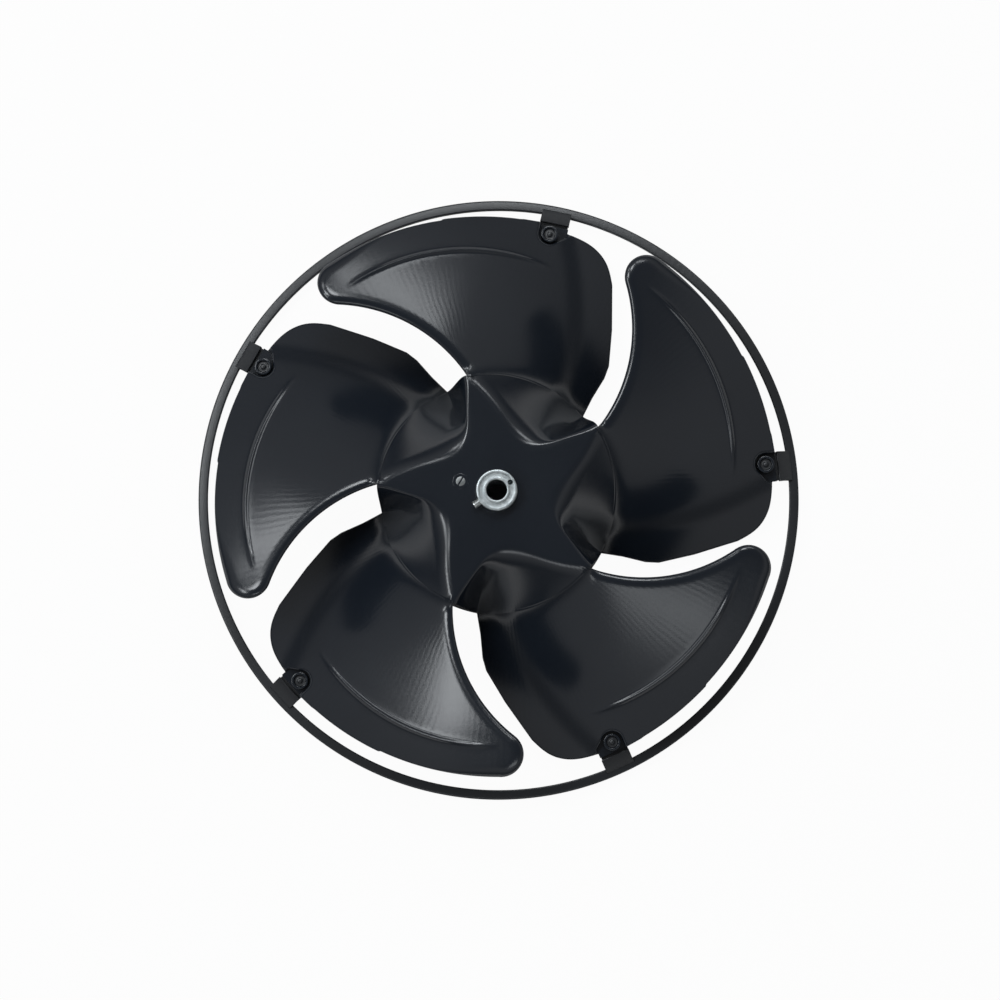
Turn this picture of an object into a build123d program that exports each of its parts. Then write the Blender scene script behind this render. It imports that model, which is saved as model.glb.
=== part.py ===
# Condenser fan of a room air conditioner: five-bladed rotor, water-slinger ring, bushing, set screw
# and balance plug.
# Millimetres. The fan axis is Z, the star face of the hub looks up, the ring rests on z = 0.
# Angles are in degrees, clockwise from +Y as seen from above.
import os
from math import atan2, cos, degrees, hypot, radians, sin

from build123d import *

# Ring
RING_OD = 381.0
RING_WIDTH = 6.2
RING_HEIGHT = 10.0
RING_EDGE = 1.2

# Hub
DRUM_R = 74.0
DRUM_WALL = 2.6
DRUM_FOOT = 6.0
DRUM_RISE = 1.5
FACE_Z = 76.0
FACE_THICK = 3.2
SCOOP_SKIN = 5.5
STAR_INSET = 1.0
STAR_TIP = -12.0
STAR_NEXT = 57.0
SLEEVE_OD = 37.0
SLEEVE_FOOT = 30.0
RIB_THICK = 2.6

# Blades
BLADES = 5
PITCH = 360 / BLADES
TIP_GAP = 8.8
TIP_R = RING_OD / 2 - RING_WIDTH - TIP_GAP
ROOT_R = DRUM_R - DRUM_WALL / 2
SKIN = 2.8
LEAD_ANGLE = -14.34
LEAD_SWEEP = 33.5
LEAD_Z_ROOT = 69.0
LEAD_Z_TIP = 81.0
LEAD_SHARE = 0.7
TRAIL_ANGLE = 46.24
TRAIL_SWEEP = 24.36
TRAIL_Z_ROOT = 14.5
TRAIL_Z_TIP = 4.0
STEP_HEIGHT = 5.0
STEP_WIDTH = 13.0
STEP_ROOT = 0.77
STEP_SHIFT = 0.115
LEAD_ROOT = -14.4
LOBE_END = -36.3
LIP_WIDTH = 2.6
LIP_DEPTH = 6.0
BEAD_WIDTH = 3.6
BEAD_END = 0.6
BEAD_HEIGHT = 1.1

# Ring tabs and the hollow posts that slip over their pins
PAD_R = TIP_R + 1.0
PAD_TOP = 16.6
PAD_THICK = 2.6
PAD_LOW = PAD_TOP - PAD_THICK
POST_R = TIP_R - 5.6
POST_ANGLE = 11.1
POST_OD = 10.8
POST_BORE = 7.4
POST_TOP = 26.0
PIN_SUNK = 1.6
POCKET_GAP = 2.0
POCKET_WALL = 2.0
POCKET_IN = TIP_R - 5.0
TAB_ANGLE = 11.6
TAB_WIDTH = 18.5
TAB_R = TIP_R + 2.5
TAB_TOP = 19.0
TAB_THICK = 3.0
FIT = 0.5

# Bushing, set screw and balance plug
BORE_D = 12.7
BUSH_OD = 25.4
BUSH_TOP = 85.0
BUSH_FOOT = 36.0
BUSH_EDGE = 0.8
GROOVE_OD = 21.6
GROOVE_ID = 16.2
GROOVE_DEPTH = 0.8
DIMPLE_D = 3.0
DIMPLE_R = 9.6
DIMPLE_ANGLE = 60.0
SCREW_D = 5.0
SCREW_ANGLE = 236.5
SCREW_OUT = 2.6
SCREW_SHORT = 0.4
SCREW_Z = 80.5
SCREW_SOCKET = 2.5
PLUG_D = 6.0
PLUG_LENGTH = 8.0
PLUG_X = -22.4
PLUG_Y = 6.0
PLUG_PROUD = 0.1
PLUG_SLOT = 1.0
PLUG_WALL = 2.0

FAR = 120.0


def at(radius, angle, z=0.0):
    return Vector(radius * sin(radians(angle)), radius * cos(radians(angle)), z)


def spot(span, angle):
    # A plan point on a blade; span runs from 0 at the drum to 1 at the tip circle.
    return at(DRUM_R + span * (TIP_R - DRUM_R), angle)


def smooth(t):
    t = min(max(t, 0.0), 1.0)
    return t * t * (3 - 2 * t)


def blade_angle(span, share):
    # Angle at a share of the chord, from 0 at the leading edge to 1 at the trailing edge.
    lead = LEAD_ANGLE - LEAD_SWEEP * span
    return lead + share * (TRAIL_ANGLE - TRAIL_SWEEP * span - lead)


def crease(span, side):
    # Plan point on the front (-1) or the back (1) of the steep band before the trailing flap.
    chord = radians(blade_angle(span, 1) - blade_angle(span, 0)) * (DRUM_R + span * (TIP_R - DRUM_R))
    return spot(span, blade_angle(span, STEP_ROOT + STEP_SHIFT * span + side * STEP_WIDTH / 2 / chord))


def lifted(p):
    # A plan point lifted onto a blade's upper side: a falling camber with a step down to the trailing flap.
    r = hypot(p.X, p.Y)
    span = (r - DRUM_R) / (TIP_R - DRUM_R)
    lead, trail = blade_angle(span, 0), blade_angle(span, 1)
    s = (degrees(atan2(p.X, p.Y)) - lead) / (trail - lead)
    lead_z = LEAD_Z_ROOT + span * (LEAD_Z_TIP - LEAD_Z_ROOT)
    trail_z = TRAIL_Z_ROOT + span * (TRAIL_Z_TIP - TRAIL_Z_ROOT)
    fall = LEAD_SHARE * s + (1 - LEAD_SHARE) * s * abs(s)
    behind = (s - STEP_ROOT - STEP_SHIFT * span) * radians(trail - lead) * r
    step = smooth(behind / STEP_WIDTH + 0.5)
    return Vector(p.X, p.Y, lead_z - (lead_z - trail_z) * fall + STEP_HEIGHT * (1 - step))


def over(*points):
    # Arc through three plan points lifted onto the blade.
    return ThreePointArc(*[lifted(p) for p in points])


def slab(region, low, high):
    return extrude(Pos(0, 0, low) * region, amount=high - low)


def thick(face, depth, drop=0.0):
    # A face lowered by drop and thickened straight down by depth.
    return extrude(Pos(0, 0, -drop) * face, amount=-depth, dir=(0, 0, 1))


def inside(edge, t, amount):
    # A point beside an edge, on its right-hand side.
    d = edge % t
    return edge @ t + Vector(d.Y, -d.X) * amount


def lug(radius, inset):
    # Plan of the seat round a post, out to the tab's trailing side.
    side = TAB_WIDTH / 2 - inset
    post_x = POST_R * sin(radians(POST_ANGLE - TAB_ANGLE))
    left = post_x - radius
    ear = make_face(Polyline(
        (left, POST_R), (left, PAD_R - inset), (side, PAD_R - inset), (side, POCKET_IN + inset),
        (post_x + radius / 2, POST_R - 0.85 * radius), (post_x, POST_R), close=True))
    return Rot(0, 0, -TAB_ANGLE) * (ear + Pos(post_x, POST_R) * Circle(radius))


def turned(shape, i):
    return Rot(0, 0, -i * PITCH) * shape


post_at = Pos(*at(POST_R, POST_ANGLE))
plug_at = Pos(PLUG_X, PLUG_Y)
pocket = lug(POST_OD / 2 + POCKET_GAP, 0)


def make_blade():
    root = (ROOT_R - DRUM_R) / (TIP_R - DRUM_R)
    lead = ThreePointArc(spot(root, LEAD_ROOT), spot(0.472, -29.2), spot(0.758, -40.24))
    lobe = ThreePointArc(lead @ 1, spot(0.943, -40.8), spot(1, LOBE_END))
    bead = ThreePointArc(spot(0.811, -36), spot(0.798, -12), spot(0.729, 13))

    # Rim along the leading edge and round the lobe, turned down as a lip
    elbow = (inside(lead, 1, LIP_WIDTH) + inside(lobe, 0, LIP_WIDTH)) / 2
    rim_root = inside(lead, 0, LIP_WIDTH)
    rim_tip = inside(lobe, 1, LIP_WIDTH)
    lead_in = over(rim_root, inside(lead, 0.5, LIP_WIDTH), elbow)
    lobe_in = over(elbow, inside(lobe, 0.5, LIP_WIDTH), rim_tip)
    rims = [Face.make_surface_from_curves(over(lead @ 0, lead @ 0.5, lead @ 1), lead_in),
            Face.make_surface_from_curves(over(lobe @ 0, lobe @ 0.5, lobe @ 1), lobe_in)]

    # Steep band and the flap behind it, each ruled in three lengths; both run out under the ring's tab
    spans = [root, 0.25, 0.7]
    fronts = [crease(t, -1) for t in spans] + [spot(0.931, 11.8)]
    front_mids = [crease((root + 0.25) / 2, -1), crease(0.475, -1), crease(0.82, -1)]
    backs = [crease(t, 1) for t in spans] + [spot(0.931, 13.3)]
    back_mids = [crease((root + 0.25) / 2, 1), crease(0.475, 1), spot(0.82, 18.2)]
    edges = [spot(root, 46.8), spot(0.351, 39.97), spot(0.79, 28.13), spot(0.992, 13.4)]
    edge_mids = [spot(0.192, 42.8), spot(0.544, 34.08), spot(0.935, 22.6)]
    front_arcs, bands, flaps = [], [], []
    for i in range(3):
        front_arc = over(fronts[i], front_mids[i], fronts[i + 1])
        back_arc = over(backs[i], back_mids[i], backs[i + 1])
        front_arcs.append(front_arc)
        bands.append(Face.make_surface_from_curves(front_arc, back_arc))
        flaps.append(Face.make_surface_from_curves(back_arc, over(edges[i], edge_mids[i], edges[i + 1])))

    # Main face between the rim, the tip circle, the steep band and the hub
    tips = [spot(1, LOBE_END + (POST_ANGLE - LOBE_END) * i / 4) for i in range(5)]
    tip_arcs = [over(*tips[:3]), over(*tips[2:])]
    foot = over(fronts[0], spot(root, blade_angle(root, STEP_ROOT / 2)), rim_root)
    bounds = Wire([lead_in, lobe_in, Line(lobe_in @ 1, tip_arcs[0] @ 0), *tip_arcs,
                   Line(tip_arcs[1] @ 1, front_arcs[2] @ 1), *front_arcs, foot])
    shares = [0.18, 0.32, 0.46, 0.6]
    guides = [lifted(spot(i / 5, blade_angle(i / 5, share))) for i in range(1, 5) for share in shares]
    main = Face.make_surface(bounds, surface_points=guides)
    blade = thick(main, SKIN)
    for face in bands + flaps:
        blade = blade + thick(face, SKIN)
    for face in rims:
        blade = blade + thick(face, LIP_DEPTH)

    # Stiffening bead that narrows to both ends
    sides = []
    for out in (-1, 1):
        line = []
        for i in range(5):
            width = BEAD_END + (BEAD_WIDTH - BEAD_END) * (1 - (i / 2 - 1) ** 2)
            p = bead @ (i / 4)
            line.append(lifted(p + p.normalized() * (out * width / 2)))
        sides.append(Spline(*line))
    blade = blade + thick(Face.make_surface_from_curves(*sides), BEAD_HEIGHT + SKIN / 2, -BEAD_HEIGHT)

    # Sunk seat for the ring's tab, walled up to the blade, with its hollow post
    under = thick(main, FAR, SKIN / 2)
    for face in bands + flaps:
        under = under + thick(face, FAR, SKIN / 2)
    blade = blade + (slab(lug(POST_OD / 2 + POCKET_GAP + POCKET_WALL, 0), PAD_LOW, FAR) & under)
    blade = blade - slab(pocket, -FAR, FAR)
    seat = slab(pocket, PAD_LOW, PAD_TOP) + slab(post_at * Circle(POST_OD / 2), PAD_LOW, POST_TOP)
    return blade + (seat - slab(post_at * Circle(POST_BORE / 2), 0, FAR))


def drum_height(angle):
    # Height of the hub's skin along the drum's outer circle, from one star tip to the next.
    low = min(lifted(at(DRUM_R, min(angle, TRAIL_ANGLE))).Z + DRUM_RISE, FACE_Z)
    return low + (FACE_Z - low) * smooth((angle - TRAIL_ANGLE) / (STAR_NEXT - TRAIL_ANGLE))


def make_hub():
    # A drum whose face is cut back to a star by scoops that run down to the blade roots.
    star_r = DRUM_R - STAR_INSET
    star = Spline(at(star_r, STAR_TIP), (2.3, 52.1), (10.6, 41.8), (18.8, 35.6), (27.0, 33.6), (37.4, 34.2),
                  (47.6, 36.7), at(star_r, STAR_NEXT))
    angles = [STAR_TIP + (STAR_NEXT - STAR_TIP) * i / 8 for i in range(9)]
    rim = Spline(*[at(DRUM_R + STAR_INSET, a, drum_height(a)) for a in angles])
    scoop = Face.make_surface_from_curves(Pos(0, 0, FACE_Z + 1) * star, rim)
    above = extrude(scoop, amount=FAR, dir=(0, 0, 1))
    drum = slab(Circle(DRUM_R), DRUM_FOOT, FACE_Z)
    core = slab(Circle(DRUM_R - DRUM_WALL), 0, FACE_Z - FACE_THICK)
    for i in range(BLADES):
        drum = drum - turned(above, i)
        core = core - turned(Pos(0, 0, -SCOOP_SKIN) * above, i)
    hub = drum - core

    # Sleeve for the bushing, ribs under the star's arms and a socket for the balance plug
    under = FACE_Z - FACE_THICK / 2
    hub = hub + slab(Circle(SLEEVE_OD / 2), SLEEVE_FOOT, under)
    hub = hub + slab(plug_at * Circle(PLUG_D / 2 + PLUG_WALL), FACE_Z - PLUG_LENGTH - PLUG_WALL, under)
    rib = slab(Rot(0, 0, -STAR_TIP) * Pos(0, ROOT_R / 2) * Rectangle(RIB_THICK, ROOT_R), SLEEVE_FOOT, under)
    for i in range(BLADES):
        hub = hub + turned(rib, i)
    return hub


def make_rotor():
    rotor = make_hub()
    blade = make_blade()
    for i in range(BLADES):
        rotor = rotor + turned(blade, i)
    rotor = rotor - slab(Circle(BUSH_OD / 2), 0, FAR)
    return rotor - slab(plug_at * Circle(PLUG_D / 2), FACE_Z - PLUG_LENGTH, FAR)


def make_ring():
    band = Rectangle(RING_WIDTH, RING_HEIGHT)
    band = chamfer(band.vertices().group_by(Axis.Y)[-1], RING_EDGE)
    ring = revolve(Plane.XZ * Pos((RING_OD - RING_WIDTH) / 2, RING_HEIGHT / 2) * band, Axis.Z)
    ring_in = RING_OD / 2 - RING_WIDTH
    outer = RING_OD / 2 - RING_EDGE
    tab_low = PAD_LOW - TAB_THICK
    side = make_face(Polyline(
        (outer, RING_HEIGHT), (TAB_R, TAB_TOP), (TAB_R, tab_low), (ring_in - TAB_THICK, tab_low),
        (ring_in + 1, RING_HEIGHT / 2), (outer, RING_HEIGHT / 2), close=True))
    tab = Rot(0, 0, 90 - TAB_ANGLE) * extrude(Plane.XZ * side, amount=TAB_WIDTH / 2, both=True)
    bridge = Rot(0, 0, -TAB_ANGLE) * Pos(0, (PAD_R + TAB_R) / 2) * Rectangle(TAB_WIDTH - 2 * FIT, 4)
    tab = tab + slab(lug(POST_OD / 2 + POCKET_GAP - FIT, FIT) + bridge, tab_low, PAD_LOW)
    tab = tab + slab(post_at * Circle(POST_BORE / 2), tab_low, POST_TOP - PIN_SUNK)
    for i in range(BLADES):
        ring = ring + turned(tab, i)
    return ring


def screw_hole(start, length):
    plane = Plane(at(start, SCREW_ANGLE, SCREW_Z), z_dir=at(1, SCREW_ANGLE))
    return extrude(plane * Circle(SCREW_D / 2), amount=length)


def make_bushing():
    bushing = slab(Circle(BUSH_OD / 2), BUSH_FOOT, BUSH_TOP)
    bushing = chamfer(bushing.edges().group_by(Axis.Z)[-1], BUSH_EDGE)
    groove = Circle(GROOVE_OD / 2) - Circle(GROOVE_ID / 2)
    dimple = Pos(*at(DIMPLE_R, DIMPLE_ANGLE)) * Circle(DIMPLE_D / 2)
    bushing = bushing - slab(groove, BUSH_TOP - GROOVE_DEPTH, BUSH_TOP)
    bushing = bushing - slab(dimple, BUSH_TOP - DIMPLE_D, BUSH_TOP)
    return bushing - slab(Circle(BORE_D / 2), 0, FAR) - screw_hole(0, BUSH_OD)


def make_screw():
    start = BORE_D / 2 + SCREW_SHORT
    end = BUSH_OD / 2 + SCREW_OUT
    socket = Plane(at(end, SCREW_ANGLE, SCREW_Z), z_dir=at(-1, SCREW_ANGLE))
    hexagon = socket * RegularPolygon(SCREW_SOCKET / 2, 6)
    return screw_hole(start, end - start) - extrude(hexagon, amount=SCREW_SOCKET)


def make_plug():
    top = FACE_Z + PLUG_PROUD
    slot = slab(plug_at * Rot(0, 0, 60) * Rectangle(PLUG_D, PLUG_SLOT), top - PLUG_SLOT, top)
    return slab(plug_at * Circle(PLUG_D / 2), FACE_Z - PLUG_LENGTH, top) - slot


parts = {
    "fan_rotor": make_rotor(),
    "slinger_ring": make_ring(),
    "hub_bushing": make_bushing(),
    "set_screw": make_screw(),
    "balance_weight": make_plug(),
}
os.makedirs("parts", exist_ok=True)
for name, shape in parts.items():
    export_step(shape, "parts/" + name + ".step")
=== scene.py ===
from math import atan2, cos, pi, radians, sin, tan

import bmesh
import bpy
import numpy as np
from mathutils import Matrix, Vector
from mathutils.geometry import delaunay_2d_cdt


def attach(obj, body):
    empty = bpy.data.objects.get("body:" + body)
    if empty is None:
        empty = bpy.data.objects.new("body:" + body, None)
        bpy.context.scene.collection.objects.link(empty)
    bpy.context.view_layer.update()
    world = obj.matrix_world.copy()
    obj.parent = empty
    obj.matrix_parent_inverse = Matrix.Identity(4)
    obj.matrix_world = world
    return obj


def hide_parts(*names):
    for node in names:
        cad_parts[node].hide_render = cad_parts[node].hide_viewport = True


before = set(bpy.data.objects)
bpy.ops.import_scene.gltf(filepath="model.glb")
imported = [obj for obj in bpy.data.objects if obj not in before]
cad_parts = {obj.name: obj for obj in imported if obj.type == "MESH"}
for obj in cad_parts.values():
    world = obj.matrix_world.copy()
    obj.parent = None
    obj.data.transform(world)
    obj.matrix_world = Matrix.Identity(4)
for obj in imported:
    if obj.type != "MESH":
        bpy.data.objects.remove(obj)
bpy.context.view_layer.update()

# Shapes are worked out in millimetres; angles are in degrees, clockwise from +Y seen from above
MM = 0.001
BLADES = 5
PITCH = 360 / BLADES

# Blade: heights of its edges at root and tip, sweep of its edges in degrees per millimetre, step to the flap
TIP_R, SKIN = 175.5, 2.8
LEAD_Z_ROOT, LEAD_Z_TIP = 69.0, 81.0
TRAIL_Z_ROOT, TRAIL_Z_TIP = 14.5, 4.0
LEAD_SHARE = 0.7
LEAD_ANGLE, LEAD_ANGLE_R, LEAD_SWEEP = -15.0, 76.0, 0.33
TRAIL_ANGLE, TRAIL_ANGLE_R, TRAIL_SWEEP = 46.0, 75.0, 0.24
CREASE_ROOT, CREASE_SHIFT = 0.77, 0.115
STEP_TOP, STEP_HEIGHT, STEP_WIDTH = 5.0, 1.6, 14.0
FLAP_RISE = 0.08

# Blade edges: rolled along the leading edge and the lobe, which has a lip under it, and rounded elsewhere
LIP_WIDTH, LIP_DEPTH, LIP_FADE = 2.6, 6.0, 0.5
ROLL_WIDTH, ROLL_DROP, ROLL_CURL = 7.0, 3.4, 0.96
ROLL_FALL = ROLL_DROP / (1 - (1 - ROLL_CURL) ** 0.5)
ROLL_START, ROLL_GONE = -36.3, -20.0
EDGE_ROUND, EDGE_CURL = 0.7, 0.98
POCKET_ROUND, POCKET_WALL, POCKET_FADE = 1.8, 2.3, 0.3
THINNEST = 0.8

# Bead: a raised line along an arc, which runs out at both ends; the band outside it leans to the tip
BEAD_HEIGHT, BEAD_HALF_WIDTH = 1.5, 2.2
BEAD_MIDDLE, BEAD_HALF = -11.5, 24.5
BEAD_START, BEAD_VIA, BEAD_END = (156.3, -36), (155.0, -12), (148.0, 13)
BAND_TILT = 0.09

# Hub drum with its star face, scoops, sleeve and ribs
DRUM_R, DRUM_WALL, DRUM_FOOT, DRUM_RISE = 74.0, 2.6, 6.0, 1.9
ROOT_FILLET, FILLET_LIMIT = 7.0, 1.2
FACE_Z, FACE_THICK, FACE_EDGE = 76.0, 3.2, 0.4
STAR_R, STAR_TIP, STAR_NEXT, TRAIL_ROOT = 73.0, -12.0, 57.0, 46.0
STAR_SIDE = [(2.3, 52.1), (10.6, 41.8), (18.8, 35.6), (27.0, 33.6), (37.4, 34.2), (47.6, 36.7)]
STAR_ROUND, LEAST_ROUND = 7.5, 0.05
SCOOP_POWER, SCOOP_SKIN, SCOOP_RIM, SCOOP_OVER = 1.25, 5.5, 0.5, 1.0
SCOOP_BLEND, SCOOP_MARGIN = 8.0, 4.0
HUB_ROUND, UNDER_LEAST = 0.6, 3.0
FLAT_RINGS, FLAT_START, FLAT_LEAST, RIM_RINGS = (0.4, 0.7), 1.0, 2.0, (1.0, 4.0)
SLEEVE_R, SLEEVE_FOOT = 18.5, 30.0
RIB_THICK, RIB_SUNK, RIB_CORNER = 2.6, 1.0, 6.0
SECTOR_STEPS, TOP_POINTS, FLAT_POINTS, BEND_POINTS, UNDER_POINTS = 96, 42, 5, 17, 26

# Bushing, set screw and balance plug
BORE_R, BUSH_R, BUSH_TOP, BUSH_FOOT = 6.35, 12.7, 85.0, 36.0
GROOVE_OUT, GROOVE_IN, GROOVE_DEPTH = 10.8, 8.1, 0.8
BUSH_ROUNDS = [0.5, 0.5, 0.35, 0.25, 0.25, 0.35, 0.8, 0.5]
HOLE_R, HOLE_OUT, HOLE_ANGLE, HOLE_DEPTH, HOLE_CONE, HOLE_OVER = 1.6, 9.6, 60.0, 14.0, 0.6, 1.0
SCREW_R, SCREW_ANGLE, SCREW_OUT, SCREW_Z, SCREW_CLEAR = 2.5, 236.5, 4.0, 81.0, 0.4
THREAD_PITCH, THREAD_DEPTH, THREAD_END = 0.8, 0.34, 0.1
SCREW_CHAMFER, CHAMFER_SLOPE = 0.5, 0.5
HEX_HALF, HEX_CHAMFER, HEX_DEPTH, HEX_CONE = 1.225, 0.15, 2.4, 0.2
SCREW_STEPS, SCREW_SIDES = 56, 40
PLUG_R, PLUG_X, PLUG_Y, PLUG_LENGTH, PLUG_RISE = 3.0, -22.4, 6.0, 8.0, 0.1
SLOT_ANGLE, SLOT_HALF, SLOT_DEPTH, SLOT_REACH = 30.0, 0.5, 1.0, 4.0
PLUG_ROUNDS, COLLAR_ROUNDS = [0, 0.3, 0.45, 0], [0, 0.15, 0.35, 0]
COLLAR_RISE, COLLAR_TOP, COLLAR_FOOT, COLLAR_SUNK = 0.22, 1.9, 2.3, 1.0
BOSS_WALL = 2.0

# Seat, pocket and hollow post at each blade's tip
POST_R, POST_ANGLE, POST_OUT, POST_BORE, POST_TOP = 169.9, 11.1, 5.4, 3.7, 26.0
POST_ROUNDS = [0, 0.45, 0.7, 0]
PAD_R, PAD_TOP, PAD_LOW = 176.5, 16.6, 14.0
POCKET_GAP, POCKET_IN = 1.2, 170.5
SEAT_OVER, SEAT_BACK, SEAT_SIDE, SEAT_END, SEAT_CORNER = 0.5, 0.3, 0.05, 2.0, 0.4

# Ring with its tabs and pins
RING_R, RING_WIDTH, RING_HEIGHT = 190.5, 6.2, 10.0
RING_DRAFT, RING_FALL = 0.9, 0.45
RING_ROUNDS = [0.6, 1.0, 1.2, 0.6]
TAB_ANGLE, TAB_WIDTH, TAB_R, TAB_TOP, TAB_THICK = 11.6, 18.5, 178.0, 19.0, 3.0
TAB_ROUNDS = [0.6, 0.7, 0.4, 1.0, 0.5, 0.5]
RAMP_LENGTH, RAMP_SUNK, RAMP_ROOT = 9.3, 0.2, 1.0
FOOT_FIT, FOOT_GAP, FOOT_LAP, FOOT_SHORT = 0.5, 0.1, 2.0, 1.0
FOOT_ACROSS, FOOT_ALONG = 0.6, 0.8
PIN_SUNK, PIN_GAP, PIN_CHAMFER = 1.6, 0.05, 0.4
PIN_NUB = [(2.2, -0.15), (1.75, 0.0), (1.6, 0.6), (1.2, 0.95), (0.6, 1.1)]
NUB_HEIGHT = 1.12

# How finely round forms are divided, and the angles up to which their facets are shaded smooth
POINT_STEP, FINE_STEP, FINEST_STEP = 1.6, 1.0, 0.8
RING_SIDES, BUSH_SIDES, POST_SIDES, PIN_SIDES, HOLE_SIDES = 360, 128, 48, 40, 32
ON_AXIS = 0.01
SAME_PLACE = 0.001
ROTOR_SMOOTH, RING_SMOOTH, METAL_SMOOTH = 50.0, 40.0, 35.0


# Curves and plain shapes
def at(radius, angle):
    return np.array([radius * sin(radians(angle)), radius * cos(radians(angle))])


def bearing(x, y):
    return np.degrees(np.arctan2(x, y))


def smooth(t):
    t = np.clip(t, 0.0, 1.0)
    return t * t * (3 - 2 * t)


def soft_min(a, b, width):
    # The lower of two heights, blended where they differ by less than width.
    h = np.clip(0.5 + 0.5 * (b - a) / width, 0, 1)
    return b + (a - b) * h - width * h * (1 - h)


def circle_of(p, q, r):
    # Centre of the circle through three points.
    p, q, r = (np.asarray(v, float) for v in (p, q, r))
    rows = 2 * np.array([q - p, r - p])
    return np.linalg.solve(rows, [q @ q - p @ p, r @ r - p @ p])


def arc(p, q, r, step=POINT_STEP):
    # Points along the arc from p through q to r.
    centre = circle_of(p, q, r)
    a, b, c = (atan2(*(np.asarray(v) - centre)[::-1]) for v in (p, q, r))
    turn = (c - a) % (2 * pi)
    if (b - a) % (2 * pi) > turn:
        turn -= 2 * pi
    radius = np.linalg.norm(np.asarray(p) - centre)
    count = max(int(abs(turn) * radius / step), 4)
    angles = a + turn * np.linspace(0, 1, count + 1)
    return centre + radius * np.stack([np.cos(angles), np.sin(angles)], 1)


def spline(points, count):
    # Natural cubic spline through points, at evenly spaced parameters.
    p = np.asarray(points, float)
    t = np.r_[0, np.cumsum(np.linalg.norm(np.diff(p, axis=0), axis=1))]
    h = np.diff(t)
    n = len(p)
    m = np.eye(n)
    rhs = np.zeros_like(p)
    for i in range(1, n - 1):
        m[i, i - 1:i + 2] = h[i - 1], 2 * (h[i - 1] + h[i]), h[i]
        rhs[i] = 6 * ((p[i + 1] - p[i]) / h[i] - (p[i] - p[i - 1]) / h[i - 1])
    bend = np.linalg.solve(m, rhs)
    u = np.linspace(0, t[-1], count)
    k = np.clip(np.searchsorted(t, u, "right") - 1, 0, n - 2)
    a = ((t[k + 1] - u) / h[k])[:, None]
    b = ((u - t[k]) / h[k])[:, None]
    hh = (h[k] ** 2)[:, None] / 6
    return a * p[k] + b * p[k + 1] + ((a ** 3 - a) * bend[k] + (b ** 3 - b) * bend[k + 1]) * hh


def run(points, step=POINT_STEP):
    # Points along a polyline.
    out = []
    for p, q in zip(points[:-1], points[1:]):
        p, q = np.asarray(p, float), np.asarray(q, float)
        n = max(int(np.linalg.norm(q - p) / step), 1)
        out += [p + (q - p) * i / n for i in range(n)]
    return np.array(out + [np.asarray(points[-1], float)])


def rounded(points, radii, count=4):
    # A closed polygon with its corners rounded.
    out = []
    n = len(points)
    for i, r in enumerate(radii):
        p, a, b = (np.asarray(points[k % n], float) for k in (i, i - 1, i + 1))
        if r <= 0:
            out.append(p)
            continue
        u, v = (a - p) / np.linalg.norm(a - p), (b - p) / np.linalg.norm(b - p)
        for t in np.linspace(0, 1, count + 1):
            out.append(p + u * r * (1 - t) ** 2 + v * r * t ** 2)
    return out


def loops(rings):
    # Quads between rings of points; each ring closes on itself, and the last ring joins the first.
    n, m = len(rings), len(rings[0])
    verts = [p for ring in rings for p in ring]
    faces = []
    for i in range(n):
        k = (i + 1) % n
        for j in range(m):
            nxt = (j + 1) % m
            faces.append((i * m + j, k * m + j, k * m + nxt, i * m + nxt))
    return verts, faces


def lathe(profile, count, centre=(0.0, 0.0)):
    # A closed profile of (radius, z) turned about a vertical axis.
    rings = []
    for i in range(count):
        a = 2 * pi * i / count
        rings.append([(centre[0] + r * cos(a), centre[1] + r * sin(a), z) for r, z in profile])
    return loops(rings)


def prism(polygon, axis_u, axis_v, origin, axis_w, half):
    # A solid of a closed polygon, spread both ways along axis_w.
    u, v, w, o = (np.asarray(k, float) for k in (axis_u, axis_v, axis_w, origin))
    front = [o + u * p[0] + v * p[1] + w * half for p in polygon]
    back = [o + u * p[0] + v * p[1] - w * half for p in polygon]
    n = len(polygon)
    faces = [tuple(range(n)), tuple(range(2 * n - 1, n - 1, -1))]
    faces += [(i, (i + 1) % n, n + (i + 1) % n, n + i) for i in range(n)]
    return front + back, faces


def plate(outline, low, high):
    # A flat plate of a plan outline.
    middle = np.mean(outline, axis=0)
    return prism([p - middle for p in outline], (1, 0, 0), (0, 1, 0), (*middle, (low + high) / 2),
                 (0, 0, 1), (high - low) / 2)


class Shape:
    # Collects vertices and faces of closed bodies that make one piece.
    def __init__(self):
        self.verts = []
        self.faces = []

    def add(self, verts, faces):
        base = len(self.verts)
        self.verts += [tuple(v) for v in verts]
        self.faces += [tuple(int(i) + base for i in f) for f in faces]

    def add_turned(self, verts, faces):
        # The same body at each blade.
        verts = np.asarray(verts, float)
        for i in range(BLADES):
            a = radians(-PITCH * i)
            turned = verts.copy()
            turned[:, 0] = verts[:, 0] * cos(a) - verts[:, 1] * sin(a)
            turned[:, 1] = verts[:, 0] * sin(a) + verts[:, 1] * cos(a)
            self.add(turned, faces)

    def make(self, name, smooth_angle):
        mesh = bpy.data.meshes.new(name)
        mesh.from_pydata([tuple(v) for v in np.asarray(self.verts) * MM], [], self.faces)
        mesh.update()
        bm = bmesh.new()
        bm.from_mesh(mesh)
        bmesh.ops.remove_doubles(bm, verts=bm.verts, dist=SAME_PLACE * MM)
        bmesh.ops.recalc_face_normals(bm, faces=bm.faces)
        bm.to_mesh(mesh)
        bm.free()
        mesh.shade_smooth()
        mesh.set_sharp_from_angle(angle=radians(smooth_angle))
        obj = bpy.data.objects.new(name, mesh)
        bpy.context.scene.collection.objects.link(obj)
        return obj


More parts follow.
